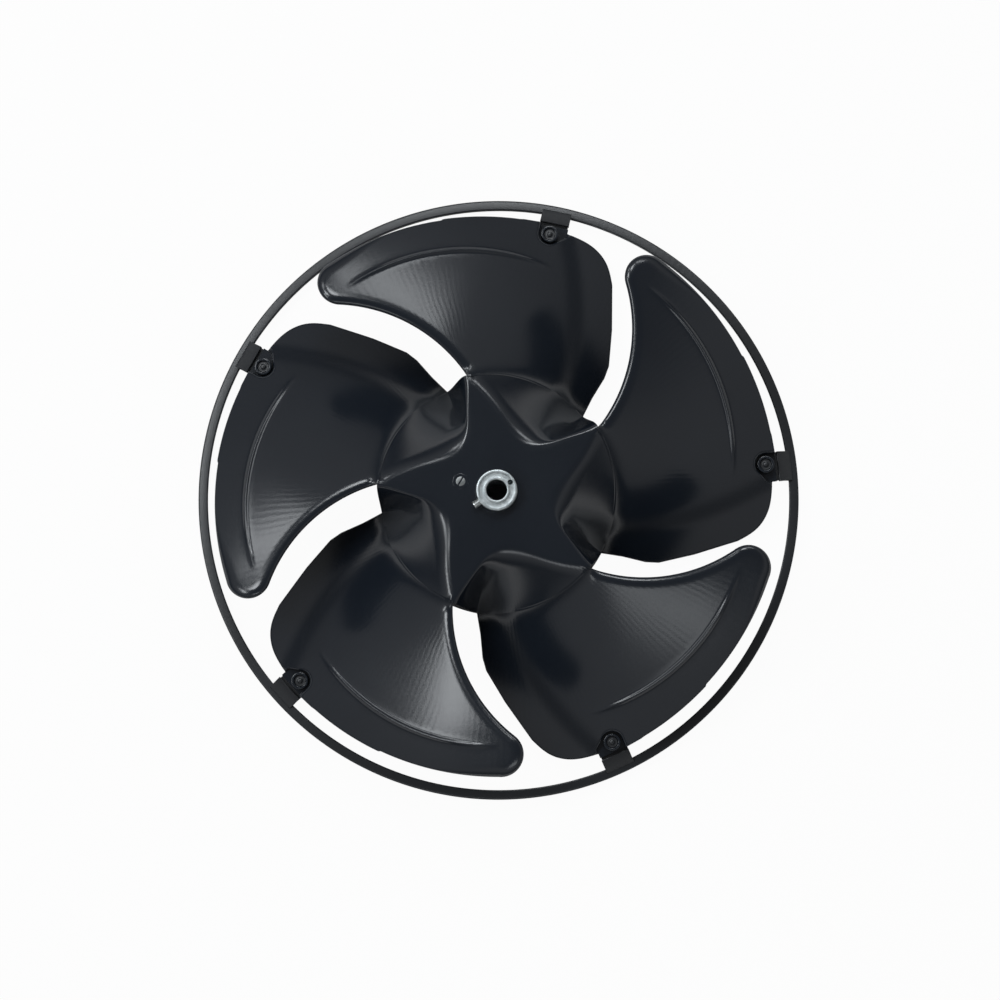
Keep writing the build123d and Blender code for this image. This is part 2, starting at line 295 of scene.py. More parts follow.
def cut(target, verts, faces):
    # Takes a body out of a metal piece.
    shape = Shape()
    shape.add(verts, faces)
    tool = shape.make("cutter", METAL_SMOOTH)
    mod = target.modifiers.new("cut", "BOOLEAN")
    mod.operation = "DIFFERENCE"
    mod.solver = "EXACT"
    mod.object = tool
    graph = bpy.context.evaluated_depsgraph_get()
    mesh = bpy.data.meshes.new_from_object(target.evaluated_get(graph))
    target.modifiers.clear()
    target.data = mesh
    bpy.data.objects.remove(tool)
    mesh.shade_smooth()
    mesh.set_sharp_from_angle(angle=radians(METAL_SMOOTH))


# Plan outline of one blade, from the root of its leading edge round the tip to its root on the drum
def from_tab(x, y):
    # A point given across and along the tab's own radius.
    a = radians(TAB_ANGLE)
    return np.array([x * cos(a) + y * sin(a), -x * sin(a) + y * cos(a)])


LEAD_FOOT, LEAD_VIA, LEAD_END = at(77.2, -15.3), (-59.5, 106.4), (-97.5, 115.2)
LOBE_VIA = (-110.9, 128.5)
TIP_VIA, TIP_END = -24, -11.6
LAND_R, LAND_FROM, LAND_VIA, LAND_TO = TIP_R + 0.7, -11.2, -3, 4.6
PAD_FROM, PAD_VIA = 5.4, 7
CORNER = [(43.9, 167.9), (59.8, 160.7), (68.6, 150.8), (72.7, 136.0)]
TRAIL = [(72.4, 107.0), (70.4, 84.0), (67.5, 76.1), (59.8, 63.3)]
CORNER_STEPS = 30
ROOT_R = DRUM_R - DRUM_WALL / 2
ROOT_FROM, ROOT_VIA, ROOT_TO = 46.8, 15, -14.2
POCKET_R = POST_OUT + POCKET_GAP
POST_X = POST_R * sin(radians(POST_ANGLE - TAB_ANGLE))
POCKET_LEFT = POST_X - POCKET_R
BOWL_ACROSS, BOWL_ALONG = 0.5, 0.866
LEAD_EDGE, TIP_EDGE, PLAIN_EDGE, POCKET_EDGE, ROOT_EDGE = ALL_EDGES = range(5)
JOINED = 0.05


def blade_outline():
    # Points round the blade, and the kind of edge at each.
    lead = arc(LEAD_FOOT, LEAD_VIA, LEAD_END)
    lobe = arc(lead[-1], LOBE_VIA, at(TIP_R, ROLL_START), FINE_STEP)
    tip = arc(lobe[-1], at(TIP_R, TIP_VIA), at(TIP_R, TIP_END))
    land = arc(at(LAND_R, LAND_FROM), at(LAND_R, LAND_VIA), at(LAND_R, LAND_TO))
    pad = arc(at(PAD_R, PAD_FROM), at(PAD_R, PAD_VIA), from_tab(POCKET_LEFT, PAD_R))
    side = run([from_tab(POCKET_LEFT, PAD_R), from_tab(POCKET_LEFT, POST_R)], FINE_STEP)
    bowl_end = from_tab(POST_X + BOWL_ACROSS * POCKET_R, POST_R - BOWL_ALONG * POCKET_R)
    bowl = arc(from_tab(POCKET_LEFT, POST_R), from_tab(POST_X, POST_R - POCKET_R), bowl_end, FINEST_STEP)
    end = run([bowl[-1], from_tab(TAB_WIDTH / 2, POCKET_IN), CORNER[0]], FINE_STEP)
    corner = spline(CORNER, CORNER_STEPS)
    trail = run([corner[-1], *TRAIL, at(ROOT_R, ROOT_FROM)])
    root = arc(at(ROOT_R, ROOT_FROM), at(ROOT_R, ROOT_VIA), at(ROOT_R, ROOT_TO))
    stretches = ((LEAD_EDGE, (lead, lobe)), (TIP_EDGE, (tip,)), (PLAIN_EDGE, (land, pad)),
                 (POCKET_EDGE, (side, bowl, end)), (PLAIN_EDGE, (corner, trail)), (ROOT_EDGE, (root,)))
    points, kinds = [], []
    for kind, curves in stretches:
        for p in np.vstack(curves):
            if not points or np.linalg.norm(p - points[-1]) >= JOINED:
                points.append(p)
                kinds.append(kind)
    return np.array(points), np.array(kinds)


outline, edge_kind = blade_outline()
bead_points = [at(*place) for place in (BEAD_START, BEAD_VIA, BEAD_END)]
bead_centre = circle_of(*bead_points)
bead_radius = np.linalg.norm(bead_points[0] - bead_centre)


def distances(points, kinds):
    # Distance of each point from the outline's edges of the given kinds.
    a, b = outline, np.roll(outline, -1, axis=0)
    use = np.isin(edge_kind, kinds)
    a, b = a[use], b[use]
    d = b - a
    best = np.full(len(points), np.inf)
    for i in range(len(a)):
        t = np.clip((points - a[i]) @ d[i] / (d[i] @ d[i]), 0, 1)
        best = np.minimum(best, np.hypot(*(points - a[i] - t[:, None] * d[i]).T))
    return best


def inside(points):
    # Whether each point lies inside the blade's outline.
    hit = np.zeros(len(points), bool)
    for p, q in zip(outline, np.roll(outline, -1, axis=0)):
        crosses = (p[1] > points[:, 1]) != (q[1] > points[:, 1])
        with np.errstate(divide="ignore", invalid="ignore"):
            x = (q[0] - p[0]) * (points[:, 1] - p[1]) / (q[1] - p[1]) + p[0]
        hit ^= crosses & (points[:, 0] < x)
    return hit


# Blade surfaces
def lead_angle(r):
    return LEAD_ANGLE - LEAD_SWEEP * (r - LEAD_ANGLE_R)


def trail_angle(r):
    return TRAIL_ANGLE - TRAIL_SWEEP * (r - TRAIL_ANGLE_R)


def blade_height(x, y):
    # Falls from the leading to the trailing edge, and steps down to a flap that is a little less steep.
    r = np.hypot(x, y)
    chord = trail_angle(r) - lead_angle(r)
    s = (bearing(x, y) - lead_angle(r)) / chord
    span = (r - DRUM_R) / (TIP_R - DRUM_R)
    lead_z = LEAD_Z_ROOT + span * (LEAD_Z_TIP - LEAD_Z_ROOT)
    trail_z = TRAIL_Z_ROOT + span * (TRAIL_Z_TIP - TRAIL_Z_ROOT)
    fall = LEAD_SHARE * s + (1 - LEAD_SHARE) * s * np.abs(s)
    crease = CREASE_ROOT + CREASE_SHIFT * span
    beyond = (s - crease) * np.radians(chord) * r
    step = smooth(beyond / STEP_WIDTH + 0.5)
    flap = FLAP_RISE * np.maximum(beyond - STEP_WIDTH / 2, 0)
    return lead_z - (lead_z - trail_z) * fall + STEP_TOP - STEP_HEIGHT * step + flap


def bead_place(points):
    # Signed distance outward from the bead's line, and the share of its height that it has there.
    off = np.hypot(*(points - bead_centre).T) - bead_radius
    t = np.clip((bearing(*points.T) - BEAD_MIDDLE) / BEAD_HALF, -1, 1)
    return off, 1 - t * t


def rolled(distance, width, curl=ROLL_CURL):
    # How far a rounded edge falls at a distance from it, as a share of the round.
    d = np.clip(1 - distance / width, 0, 1)
    return 1 - np.sqrt(1 - curl * d ** 2)


def top_height(points):
    x, y = points.T
    z = blade_height(x, y)
    off, share = bead_place(points)
    raised = 1 - smooth(np.abs(off) / BEAD_HALF_WIDTH)
    z += share * (BEAD_HEIGHT * raised - BAND_TILT * np.maximum(off, 0))
    z += DRUM_RISE * np.clip(1 - (np.hypot(x, y) - DRUM_R) / ROOT_FILLET, 0, FILLET_LIMIT) ** 2
    fade = 1 - smooth((bearing(x, y) - ROLL_START) / (ROLL_GONE - ROLL_START))
    tip = distances(points, [TIP_EDGE])
    lead_drop = rolled(distances(points, [LEAD_EDGE]), ROLL_WIDTH)
    tip_drop = fade * rolled(tip, EDGE_ROUND + (ROLL_WIDTH - EDGE_ROUND) * fade)
    z -= ROLL_FALL * np.maximum(lead_drop, tip_drop)
    z -= EDGE_ROUND * (1 - fade) * rolled(tip, EDGE_ROUND)
    z -= POCKET_ROUND * rolled(distances(points, [POCKET_EDGE]), POCKET_ROUND)
    return z - EDGE_ROUND * rolled(distances(points, [PLAIN_EDGE]), EDGE_ROUND)


def low_height(points):
    z = blade_height(*points.T) - SKIN
    lip = smooth((LIP_WIDTH + LIP_FADE - distances(points, [LEAD_EDGE])) / LIP_FADE)
    z -= (LIP_DEPTH - SKIN) * lip
    wall = smooth((POCKET_WALL - distances(points, [POCKET_EDGE])) / POCKET_FADE)
    z = np.where(z > PAD_LOW, z + (PAD_LOW - z) * wall, z)
    outer = distances(points, [LEAD_EDGE, TIP_EDGE, PLAIN_EDGE])
    return z + EDGE_ROUND * rolled(outer, EDGE_ROUND, EDGE_CURL)


# Mesh of one blade: rows of points along its edges and its bead, and a triangular grid between them
WIDE_ROWS = (0.25, 0.6, 1.1, 1.8, 2.6, 3.1, 4.0, 5.0, 6.2, 7.8)
NARROW_ROWS = (0.2, 0.45, 0.8, 1.5, 2.0, 2.3, 3.2)
ROOT_ROWS = (1.3, 2.6, 4.2)
EDGE_ROWS = {LEAD_EDGE: WIDE_ROWS, TIP_EDGE: WIDE_ROWS, PLAIN_EDGE: NARROW_ROWS, POCKET_EDGE: NARROW_ROWS,
             ROOT_EDGE: ROOT_ROWS}
ROW_KEEP = 0.93
BEAD_ROWS = (-3.0, -1.8, -1.3, -0.95, -0.65, -0.35, 0, 0.35, 0.65, 0.95, 1.3, 1.8, 3.0)
ROWS_FROM, ROWS_TO, ROWS_STEPS, ROWS_INSET = -37, 14, 120, 8.2
ROWS_CLEAR, ROWS_PAST = 4.0, 1
GRID_PITCH, ROW_SHARE = 3.0, 0.866
GRID_X, GRID_Y = (-125, 90), (40, 182)
WIDE_CLEAR, NARROW_CLEAR, ROOT_CLEAR = 8.8, 4.0, 5.0
CELL, TOO_CLOSE = 0.6, 0.18
INSIDE_OUTLINE, PLAN_MERGE = 1, 1e-4


def edge_rows():
    along = np.roll(outline, -1, axis=0) - np.roll(outline, 1, axis=0)
    along /= np.linalg.norm(along, axis=1)[:, None]
    inward = np.stack([along[:, 1], -along[:, 0]], 1)
    rows = []
    for kind, steps in EDGE_ROWS.items():
        use = edge_kind == kind
        for d in steps:
            p = outline[use] + inward[use] * d
            p = p[inside(p)]
            rows.append(p[distances(p, ALL_EDGES) > ROW_KEEP * d])
    return np.vstack(rows)


def bead_rows():
    rows = []
    for off in BEAD_ROWS:
        for a in np.linspace(ROWS_FROM, ROWS_TO, ROWS_STEPS):
            ray = at(1, a)
            b = ray @ bead_centre
            reach = b + np.sqrt(b * b - bead_centre @ bead_centre + bead_radius ** 2)
            rows.append(ray * (reach + off))
    rows = np.array(rows)
    rows = rows[inside(rows)]
    return rows[distances(rows, ALL_EDGES) > ROWS_INSET]


def grid_points():
    gx, gy = np.meshgrid(np.arange(*GRID_X, GRID_PITCH), np.arange(*GRID_Y, GRID_PITCH * ROW_SHARE))
    gx = gx + np.where(np.arange(gx.shape[0]) % 2, GRID_PITCH / 2, 0)[:, None]
    grid = np.stack([gx.ravel(), gy.ravel()], 1)
    grid = grid[inside(grid)]
    off, _ = bead_place(grid)
    angle = bearing(*grid.T)
    beside = (angle > ROWS_FROM - ROWS_PAST) & (angle < ROWS_TO + ROWS_PAST)
    grid = grid[~(beside & (np.abs(off) < ROWS_CLEAR))]
    wide = distances(grid, [LEAD_EDGE, TIP_EDGE]) > WIDE_CLEAR
    narrow = distances(grid, [PLAIN_EDGE, POCKET_EDGE]) > NARROW_CLEAR
    return grid[wide & narrow & (distances(grid, [ROOT_EDGE]) > ROOT_CLEAR)]


def thinned(points):
    # The outline's points, and of the others those that aren't too close to one before them.
    keep, seen = [], {}
    for i, p in enumerate(points):
        cell = (int(p[0] // CELL), int(p[1] // CELL))
        around = [(cell[0] + dx, cell[1] + dy) for dx in (-1, 0, 1) for dy in (-1, 0, 1)]
        close = any(np.hypot(*(points[j] - p)) < TOO_CLOSE for place in around for j in seen.get(place, ()))
        if i < len(outline) or not close:
            seen.setdefault(cell, []).append(i)
            keep.append(i)
    return points[keep]


def blade_mesh():
    points = thinned(np.vstack([outline, edge_rows(), bead_rows(), grid_points()]))
    n = len(outline)
    border = [(i, (i + 1) % n) for i in range(n)]
    plan, _, tris, *_ = delaunay_2d_cdt([Vector(p) for p in points], border, [], INSIDE_OUTLINE, PLAN_MERGE)
    plan = np.array([tuple(p) for p in plan])
    tris = [tuple(t) for t in tris]
    top = np.column_stack([plan, top_height(plan)])
    low = np.column_stack([plan, np.minimum(low_height(plan), top[:, 2] - THINNEST)])
    m = len(plan)
    sides = {(a, b): None for t in tris for a, b in zip(t, t[1:] + t[:1])}
    faces = tris + [tuple(i + m for i in t[::-1]) for t in tris]
    faces += [(b, a, a + m, b + m) for a, b in sides if (b, a) not in sides]
    return np.vstack([top, low]), faces


# Hub: a profile that changes with the angle, closed round the drum, the star face and the sleeve
STAR_STEPS = 400
star = spline([at(STAR_R, STAR_TIP), *STAR_SIDE, at(STAR_R, STAR_NEXT)], STAR_STEPS)
star_angle, star_reach = bearing(*star.T), np.hypot(*star.T)


def star_radius(a):
    return np.where(a > STAR_NEXT, STAR_R, np.interp(a, star_angle, star_reach))


def rim_height(a):
    # Height of the scoop's rim on the drum: it follows the blade's root, then climbs to the next star tip.
    root = np.radians(np.minimum(a, TRAIL_ROOT))
    high = FACE_Z - SCOOP_RIM
    low = np.minimum(blade_height(DRUM_R * np.sin(root), DRUM_R * np.cos(root)) + DRUM_RISE, high)
    return low + (high - low) * smooth((a - TRAIL_ROOT) / (STAR_NEXT - TRAIL_ROOT))


def hub_height(r, a):
    edge = star_radius(a)
    fall = FACE_Z - rim_height(a)
    reach = DRUM_R + SCOOP_OVER - edge
    slope = SCOOP_POWER * fall / reach
    t = (r - edge) / reach
    drop = fall * np.where(t > 0, 1 - (1 - np.clip(t, 0, 1)) ** SCOOP_POWER, SCOOP_POWER * t)
    return soft_min(np.full_like(r, FACE_Z), FACE_Z - drop, np.maximum(STAR_ROUND * slope, LEAST_ROUND))


def hub_profile(a):
    edge = float(star_radius(np.array(a)))
    flat_end = max(edge - STAR_ROUND, BUSH_R + FLAT_LEAST)
    flat = [BUSH_R + out for out in FLAT_RINGS] + [*np.linspace(BUSH_R + FLAT_START, flat_end, FLAT_POINTS)]
    bend = edge + STAR_ROUND * np.linspace(-1, 1, BEND_POINTS)[1:]
    bend = bend[bend < DRUM_R - SCOOP_MARGIN]
    reach = bend[-1] if len(bend) else flat[-1]
    scoop = np.linspace(reach, DRUM_R, TOP_POINTS - len(flat) - len(bend) + 1)[1:]
    r = np.concatenate([flat, bend, scoop])
    z = hub_height(r, np.full_like(r, a))
    under_r = np.linspace(DRUM_R - DRUM_WALL, SLEEVE_R, UNDER_POINTS)
    deeper = smooth((under_r - edge + SCOOP_BLEND / 2) / SCOOP_BLEND)
    skin = FACE_THICK + (SCOOP_SKIN - FACE_THICK) * deeper
    under_z = np.maximum(hub_height(under_r, np.full_like(under_r, a)) - skin, DRUM_FOOT + UNDER_LEAST)
    inside_r = DRUM_R - DRUM_WALL
    return [(BUSH_R, SLEEVE_FOOT), (BUSH_R, FACE_Z - FACE_EDGE), *zip(r, z),
            *((DRUM_R, z[-1] - drop) for drop in RIM_RINGS),
            (DRUM_R, DRUM_FOOT + HUB_ROUND), (DRUM_R - HUB_ROUND, DRUM_FOOT),
            (inside_r + HUB_ROUND, DRUM_FOOT), (inside_r, DRUM_FOOT + HUB_ROUND), *zip(under_r, under_z),
            (SLEEVE_R, SLEEVE_FOOT + HUB_ROUND), (SLEEVE_R - HUB_ROUND, SLEEVE_FOOT)]


def hub_mesh():
    sector = [STAR_TIP + PITCH * i / SECTOR_STEPS for i in range(SECTOR_STEPS)]
    profiles = [hub_profile(a) for a in sector]
    rings = []
    for i in range(BLADES):
        for a, profile in zip(sector, profiles):
            phi = radians(a + PITCH * i)
            rings.append([(r * sin(phi), r * cos(phi), z) for r, z in profile])
    return loops(rings)


def make_rotor():
    shape = Shape()
    shape.add_turned(*blade_mesh())
    shape.add(*hub_mesh())

    # Ribs under the star's arms
    under = FACE_Z - FACE_THICK / 2
    near, far = SLEEVE_R - RIB_SUNK, DRUM_R - RIB_SUNK
    side = [(near, SLEEVE_FOOT + RIB_SUNK), (SLEEVE_R + RIB_CORNER, SLEEVE_FOOT), (far, SLEEVE_FOOT),
            (far, under), (near, under)]
    for i in range(BLADES):
        phi = radians(STAR_TIP + PITCH * i)
        along, across = (sin(phi), cos(phi), 0), (cos(phi), -sin(phi), 0)
        shape.add(*prism(side, along, (0, 0, 1), (0, 0, 0), across, RIB_THICK / 2))

    # Collar and boss of the balance plug
    collar = [(PLUG_R, FACE_Z - COLLAR_SUNK), (PLUG_R, FACE_Z + COLLAR_RISE),
              (PLUG_R + COLLAR_TOP, FACE_Z + COLLAR_RISE), (PLUG_R + COLLAR_FOOT, FACE_Z - COLLAR_SUNK)]
    shape.add(*lathe(rounded(collar, COLLAR_ROUNDS), POST_SIDES, (PLUG_X, PLUG_Y)))
    boss_low, boss_r = FACE_Z - PLUG_LENGTH - BOSS_WALL, PLUG_R + BOSS_WALL
    boss = [(ON_AXIS, boss_low), (boss_r, boss_low), (boss_r, under), (ON_AXIS, under)]
    shape.add(*lathe(boss, HOLE_SIDES, (PLUG_X, PLUG_Y)))

    # Seat and hollow post at each blade's tip
    back, right = PAD_R - SEAT_BACK, TAB_WIDTH / 2 + SEAT_SIDE
    seat = [from_tab(POCKET_LEFT - SEAT_OVER, back), from_tab(POCKET_LEFT - SEAT_OVER, POST_R - POCKET_R),
            from_tab(POST_X + POCKET_R, POST_R - POCKET_R - SEAT_CORNER),
            from_tab(right, POCKET_IN - SEAT_END), from_tab(right, back)]
    shape.add_turned(*plate(seat, PAD_LOW, PAD_TOP))
    post = [(POST_BORE, PAD_LOW), (POST_BORE, POST_TOP), (POST_OUT, POST_TOP), (POST_OUT, PAD_LOW)]
    shape.add_turned(*lathe(rounded(post, POST_ROUNDS, 5), POST_SIDES, at(POST_R, POST_ANGLE)))
    return shape.make("fan_rotor_skin", ROTOR_SMOOTH)


def make_ring():
    shape = Shape()
    inner = RING_R - RING_WIDTH
    section = [(inner + RING_DRAFT, 0), (inner, RING_HEIGHT), (RING_R, RING_HEIGHT - RING_FALL), (RING_R, 0)]
    shape.add(*lathe(rounded(section, RING_ROUNDS, 5), RING_SIDES))

    # Tab: a ramp up from the ring, and a foot that reaches in under the blade's seat
    ramp_foot, low = TAB_R + RAMP_LENGTH, PAD_LOW - TAB_THICK
    side = [(ramp_foot, RING_HEIGHT - RAMP_SUNK), (TAB_R, TAB_TOP), (TAB_R, low), (inner - TAB_THICK, low),
            (inner + RAMP_ROOT, RING_HEIGHT / 2), (ramp_foot, RING_HEIGHT / 2)]
    shape.add_turned(*prism(rounded(side, TAB_ROUNDS, 3), (*from_tab(0, 1), 0), (0, 0, 1), (0, 0, 0),
                            (*from_tab(1, 0), 0), TAB_WIDTH / 2))
    half, lap, short = TAB_WIDTH / 2, TAB_R + FOOT_LAP, PAD_R - FOOT_SHORT
    left, right = POCKET_LEFT + FOOT_FIT, half - FOOT_FIT
    foot = [from_tab(-half, lap), from_tab(-half, short), from_tab(left, short), from_tab(left, POST_R),
            from_tab(POST_X, POST_R - POCKET_R + FOOT_FIT),
            from_tab(POST_X + FOOT_ACROSS * POCKET_R, POST_R - FOOT_ALONG * POCKET_R + FOOT_FIT),
            from_tab(right, POCKET_IN + FOOT_FIT), from_tab(right, lap)]
    shape.add_turned(*plate(foot, low, PAD_LOW - FOOT_GAP))

    # Pin in the post, with a moulded nub on its end
    pin_top, pin_r = POST_TOP - PIN_SUNK, POST_BORE - PIN_GAP
    pin = [(ON_AXIS, low), (pin_r, low), (pin_r, pin_top - PIN_CHAMFER), (pin_r - PIN_CHAMFER, pin_top)]
    pin += [(r, pin_top + z) for r, z in PIN_NUB + [(ON_AXIS, NUB_HEIGHT)]]
    shape.add_turned(*lathe(pin, PIN_SIDES, at(POST_R, POST_ANGLE)))
    return shape.make("slinger_ring_skin", RING_SMOOTH)


def make_bushing():
    shape = Shape()
    groove = BUSH_TOP - GROOVE_DEPTH
    section = [(BORE_R, BUSH_FOOT), (BORE_R, BUSH_TOP), (GROOVE_IN, BUSH_TOP), (GROOVE_IN, groove),
               (GROOVE_OUT, groove), (GROOVE_OUT, BUSH_TOP), (BUSH_R, BUSH_TOP), (BUSH_R, BUSH_FOOT)]
    shape.add(*lathe(rounded(section, BUSH_ROUNDS), BUSH_SIDES))
    bush = shape.make("hub_bushing_skin", METAL_SMOOTH)
    hole_low, above = BUSH_TOP - HOLE_DEPTH, BUSH_TOP + HOLE_OVER
    hole = [(ON_AXIS, hole_low), (HOLE_R, hole_low + HOLE_CONE), (HOLE_R, above), (ON_AXIS, above)]
    cut(bush, *lathe(hole, HOLE_SIDES, at(HOLE_OUT, HOLE_ANGLE)))
    return bush


def make_screw():
    # A threaded pin with a hex socket in its outer end, which points straight out from the bushing's axis.
    start, end = BORE_R + SCREW_CLEAR, BUSH_R + SCREW_OUT
    axis = np.array([*at(1, SCREW_ANGLE), 0])
    cross = np.array([axis[1], -axis[0], 0])
    rings = []
    for i in range(SCREW_SIDES):
        profile = []
        for j in range(SCREW_STEPS + 1):
            x = start + (end - start) * j / SCREW_STEPS
            thread = abs(((x - start) / THREAD_PITCH + i / SCREW_SIDES) % 1.0 - 0.5) * 2
            depth = THREAD_DEPTH * thread * min(1, (end - x) / THREAD_END)
            profile.append((SCREW_R - depth - max(0, x - end + SCREW_CHAMFER) * CHAMFER_SLOPE, x))
        from_flat = (i / SCREW_SIDES * 360 + 30) % 60 - 30
        hexagon = HEX_HALF / cos(radians(from_flat))
        floor = end - HEX_DEPTH
        profile += [(hexagon + HEX_CHAMFER, end), (hexagon, end - HEX_CHAMFER), (hexagon, floor),
                    (ON_AXIS, floor - HEX_CONE), (ON_AXIS, start)]
        turn = 2 * pi * i / SCREW_SIDES
        rings.append([axis * x + cross * r * cos(turn) + np.array([0, 0, SCREW_Z + r * sin(turn)])
                      for r, x in profile])
    shape = Shape()
    shape.add(*loops(rings))
    return shape.make("set_screw_skin", METAL_SMOOTH)


def make_plug():
    shape = Shape()
    low, top = FACE_Z - PLUG_LENGTH, FACE_Z + PLUG_RISE
    section = [(ON_AXIS, low), (PLUG_R, low), (PLUG_R, top), (ON_AXIS, top)]
    shape.add(*lathe(rounded(section, PLUG_ROUNDS, 3), POST_SIDES, (PLUG_X, PLUG_Y)))
    plug = shape.make("balance_weight_skin", METAL_SMOOTH)
    along = np.array([*at(1, SLOT_ANGLE), 0])
    across = np.array([-along[1], along[0], 0])
    slot = [(-SLOT_HALF, -SLOT_DEPTH), (SLOT_HALF, -SLOT_DEPTH),
            (SLOT_HALF, SLOT_DEPTH), (-SLOT_HALF, SLOT_DEPTH)]
    cut(plug, *prism(slot, across, (0, 0, 1), (PLUG_X, PLUG_Y, top), along, SLOT_REACH))
    return plug


# Material nodes; lengths are in metres from here on
NOISE_LOW, NOISE_HIGH = 0.3, 0.7


def material(name):
    mat = bpy.data.materials.new(name)
    mat["slot"] = name
    mat.use_nodes = True
    nodes = mat.node_tree.nodes
    return mat, nodes, mat.node_tree.links, nodes["Principled BSDF"]


def noise(nodes, links, coords, scale, detail, rough=0.55):
    n = nodes.new("ShaderNodeTexNoise")
    n.inputs["Scale"].default_value = scale
    n.inputs["Detail"].default_value = detail
    n.inputs["Roughness"].default_value = rough
    links.new(coords, n.inputs["Vector"])
    return n.outputs["Fac"]


def ramp(nodes, links, value, stops):
    r = nodes.new("ShaderNodeValToRGB")
    elements = r.color_ramp.elements
    for element, (place, colour) in zip(elements, (stops[0], stops[-1])):
        element.position = place
        element.color = (*colour, 1)
    for place, colour in stops[1:-1]:
        elements.new(place).color = (*colour, 1)
    links.new(value, r.inputs["Fac"])
    return r.outputs["Color"]


def spread(nodes, links, value, low, high, start=NOISE_LOW, end=NOISE_HIGH):
    m = nodes.new("ShaderNodeMapRange")
    for key, v in (("From Min", start), ("From Max", end), ("To Min", low), ("To Max", high)):
        m.inputs[key].default_value = v
    links.new(value, m.inputs["Value"])
    return m.outputs["Result"]


def mathnode(nodes, links, kind, *values):
    m = nodes.new("ShaderNodeMath")
    m.operation = kind
    for i, v in enumerate(values):
        if isinstance(v, (int, float)):
            m.inputs[i].default_value = v
        else:
            links.new(v, m.inputs[i])
    return m.outputs[0]


def bump(nodes, links, height, strength, distance, normal=None):
    b = nodes.new("ShaderNodeBump")
    b.inputs["Strength"].default_value = strength
    b.inputs["Distance"].default_value = distance
    links.new(height, b.inputs["Height"])
    if normal:
        links.new(normal, b.inputs["Normal"])
    return b.outputs["Normal"]


# Moulded plastic: soft clouds in colour and gloss, fine grain, faint flow lines that run out from the hub
CLOUD_SCALE, PATCH_SCALE, SPECK_SCALE, GRAIN_SCALE = 14, 9, 520, 900
SPECK_GLOSS = 0.010
GRAIN_BUMP, GRAIN_DEPTH = 0.05, 0.0004
FLOW_LINES, FLOW_WANDER, WANDER_SCALE, PATCHY_SCALE = 250.0, 14.0, 22, 30
FLOW_BUMP, FLOW_DEPTH = 0.22, 0.00003
FLOW_NONE, FLOW_FULL = 0.35, 0.65
PLASTIC_IOR = 1.5


def plastic(name, dark, light, rough_low, rough_high):
    mat, nodes, links, shader = material(name)
    where = nodes.new("ShaderNodeTexCoord").outputs["Object"]
    cloud = noise(nodes, links, where, CLOUD_SCALE, 5)
    tone = ramp(nodes, links, cloud, [(NOISE_LOW, dark), (NOISE_HIGH, light)])
    links.new(tone, shader.inputs["Base Color"])
    patch = noise(nodes, links, where, PATCH_SCALE, 2)
    speck = noise(nodes, links, where, SPECK_SCALE, 3, 0.6)
    level = mathnode(nodes, links, "ADD", spread(nodes, links, patch, rough_low, rough_high),
                     spread(nodes, links, speck, -SPECK_GLOSS, SPECK_GLOSS))
    links.new(level, shader.inputs["Roughness"])
    grain = bump(nodes, links, noise(nodes, links, where, GRAIN_SCALE, 3), GRAIN_BUMP, GRAIN_DEPTH)
    place = nodes.new("ShaderNodeSeparateXYZ")
    links.new(where, place.inputs["Vector"])
    around = mathnode(nodes, links, "ARCTAN2", place.outputs["X"], place.outputs["Y"])
    wander = mathnode(nodes, links, "MULTIPLY", noise(nodes, links, where, WANDER_SCALE, 2), FLOW_WANDER)
    phase = mathnode(nodes, links, "ADD", mathnode(nodes, links, "MULTIPLY", around, FLOW_LINES), wander)
    patchy = noise(nodes, links, where, PATCHY_SCALE, 3)
    shown = spread(nodes, links, patchy, 0.0, 1.0, FLOW_NONE, FLOW_FULL)
    flow = mathnode(nodes, links, "MULTIPLY", mathnode(nodes, links, "SINE", phase), shown)
    links.new(bump(nodes, links, flow, FLOW_BUMP, FLOW_DEPTH, grain), shader.inputs["Normal"])
    shader.inputs["IOR"].default_value = PLASTIC_IOR
    return mat


# Steel: blotchy colour and gloss, and fine grain
BLOTCH_SCALE, GLOSS_SCALE, PLATING_SCALE = 260, 700, 1400
PLATING_BUMP, PLATING_DEPTH = 0.12, 0.0002


def metal(name, dark, light, rough_low, rough_high):
    mat, nodes, links, shader = material(name)
    where = nodes.new("ShaderNodeTexCoord").outputs["Object"]
    cloud = noise(nodes, links, where, BLOTCH_SCALE, 5)
    tone = ramp(nodes, links, cloud, [(NOISE_LOW, dark), (NOISE_HIGH, light)])
    links.new(tone, shader.inputs["Base Color"])
    gloss = spread(nodes, links, noise(nodes, links, where, GLOSS_SCALE, 4), rough_low, rough_high)
    links.new(gloss, shader.inputs["Roughness"])
    grain = noise(nodes, links, where, PLATING_SCALE, 3)
    links.new(bump(nodes, links, grain, PLATING_BUMP, PLATING_DEPTH), shader.inputs["Normal"])
    shader.inputs["Metallic"].default_value = 1.0
    return mat


def dress(obj, mat, node):
    obj.data.materials.clear()
    obj.data.materials.append(mat)
    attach(obj, "root")
    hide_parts(node)


# Finishes: dark and light tone, least and most roughness
ROTOR_FINISH = (0.0058, 0.0082, 0.0126), (0.0077, 0.0106, 0.0155), 0.17, 0.20
RING_FINISH = (0.0085, 0.0100, 0.0125), (0.0125, 0.0142, 0.0170), 0.30, 0.38
ZINC_FINISH = (0.34, 0.38, 0.39), (0.58, 0.62, 0.63), 0.30, 0.44
SCREW_FINISH = (0.48, 0.50, 0.50), (0.66, 0.68, 0.68), 0.25, 0.4
WEIGHT_FINISH = (0.16, 0.17, 0.17), (0.34, 0.35, 0.35), 0.36, 0.5

